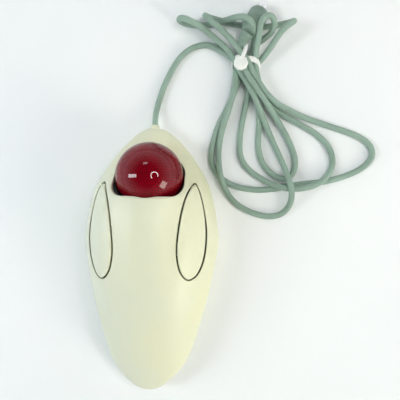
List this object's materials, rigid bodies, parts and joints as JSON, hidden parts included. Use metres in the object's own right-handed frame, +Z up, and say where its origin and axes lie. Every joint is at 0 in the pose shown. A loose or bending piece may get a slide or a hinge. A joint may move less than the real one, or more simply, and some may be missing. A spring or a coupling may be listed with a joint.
{
  "type": "trackball mouse",
  "caption": "Corded trackball mouse: egg-shaped casing, lift-out speckled red ball at the front, two long side buttons, signal cord bundled with a tie.",
  "frame": {"origin": "on the table, under the middle of the casing", "axes": "+Y towards the nose, where the cord leaves; +X to the user's right; +Z up"},
  "size_m": [0.1833, 0.2451, 0.047],
  "materials": {
    "casing_shell": "fine matte texture",
    "button_shell": "fine matte texture, a little polished by fingers",
    "ball_resin": "deep red with fine dark dots under a clear gloss",
    "cup_plastic": "smooth black moulding",
    "steel": "bright zinc-plated steel",
    "chip_plastic": "black moulded package",
    "board": "green solder mask",
    "clear_plastic": "clear moulded lens",
    "component": "dipped and sleeved parts",
    "connector_plastic": "natural nylon",
    "plunger": "red moulding",
    "foot_rubber": "soft dark grey pad",
    "label_film": "blank silvered film",
    "cord_jacket": "grey-green soft vinyl with a slight sheen",
    "tie_nylon": "white, slightly translucent",
    "contact": "plated contacts"
  },
  "bodies": {
    "casing": {"upper_casing": "casing_shell", "base_casing": "casing_shell", "ball_cup": "cup_plastic", "support_ball_front": "steel", "support_ball_left": "steel", "support_ball_right": "steel", "optics_holder": "cup_plastic", "sensor_lens": "clear_plastic", "sensor_chip": "chip_plastic", "sensor_board": "board", "led_left": "clear_plastic", "led_right": "clear_plastic", "main_board": "board", "controller_chip": "chip_plastic", "resonator": "component", "capacitors": "component", "resistors": "component", "board_link": "connector_plastic", "left_switch_case": "chip_plastic", "right_switch_case": "chip_plastic", "left_switch_terminals": "contact", "right_switch_terminals": "contact", "cable_header": "connector_plastic", "cable_connector": "connector_plastic", "inner_lead": "cord_jacket", "strain_relief": "casing_shell", "case_screws": "steel", "cup_screws": "steel", "board_screws": "steel", "feet": "foot_rubber", "rating_label": "label_film", "lead_cord": "cord_jacket", "hank_waist": "cord_jacket", "hank_lower": "cord_jacket", "hank_upper": "cord_jacket", "cord_tie": "tie_nylon", "plug_relief": "cord_jacket", "plug_grip": "cord_jacket", "plug_shell": "steel", "plug_insert": "chip_plastic", "plug_pins": "contact"},
    "left_button": {"left_button": "button_shell"},
    "right_button": {"right_button": "button_shell"},
    "left_plunger": {"left_switch_plunger": "plunger"},
    "right_plunger": {"right_switch_plunger": "plunger"},
    "ball_core": {"ball_core": "ball_resin"},
    "ball_middle": {"ball_middle": "ball_resin"},
    "ball": {"ball": "ball_resin"}
  },
  "joints": [
    {"name": "left_button_press", "type": "hinge", "parent": "casing", "child": "left_button", "pos_m": [-0.0267, 0.044, 0.018], "axis": [1, 0, 0], "range_deg": [0, 0.8], "stiffness_Nm_per_rad": 2, "springref_deg": -0.29},
    {"name": "right_button_press", "type": "hinge", "parent": "casing", "child": "right_button", "pos_m": [0.0267, 0.044, 0.018], "axis": [1, 0, 0], "range_deg": [0, 0.8], "stiffness_Nm_per_rad": 2, "springref_deg": -0.29},
    {"name": "left_plunger_slide", "type": "slide", "parent": "casing", "child": "left_plunger", "axis": [0, 0, -1], "range_m": [0, 0.0007]},
    {"name": "right_plunger_slide", "type": "slide", "parent": "casing", "child": "right_plunger", "axis": [0, 0, -1], "range_m": [0, 0.0007]},
    {"name": "ball_lift", "type": "slide", "parent": "casing", "child": "ball_core", "axis": [0, 0.6691, 0.7431], "range_m": [0, 0.045]},
    {"name": "ball_roll_ahead", "type": "hinge", "parent": "ball_core", "child": "ball_middle", "pos_m": [0, 0.0509, 0.027], "axis": [1, 0, 0], "continuous": true},
    {"name": "ball_roll_aside", "type": "hinge", "parent": "ball_middle", "child": "ball", "pos_m": [0, 0.0509, 0.027], "axis": [0, 1, 0], "continuous": true}
  ],
  "couplings": [
    {"joint": "left_plunger_slide", "follows": "left_button_press", "m_per_rad": 0.048},
    {"joint": "right_plunger_slide", "follows": "right_button_press", "m_per_rad": 0.048}
  ]
}
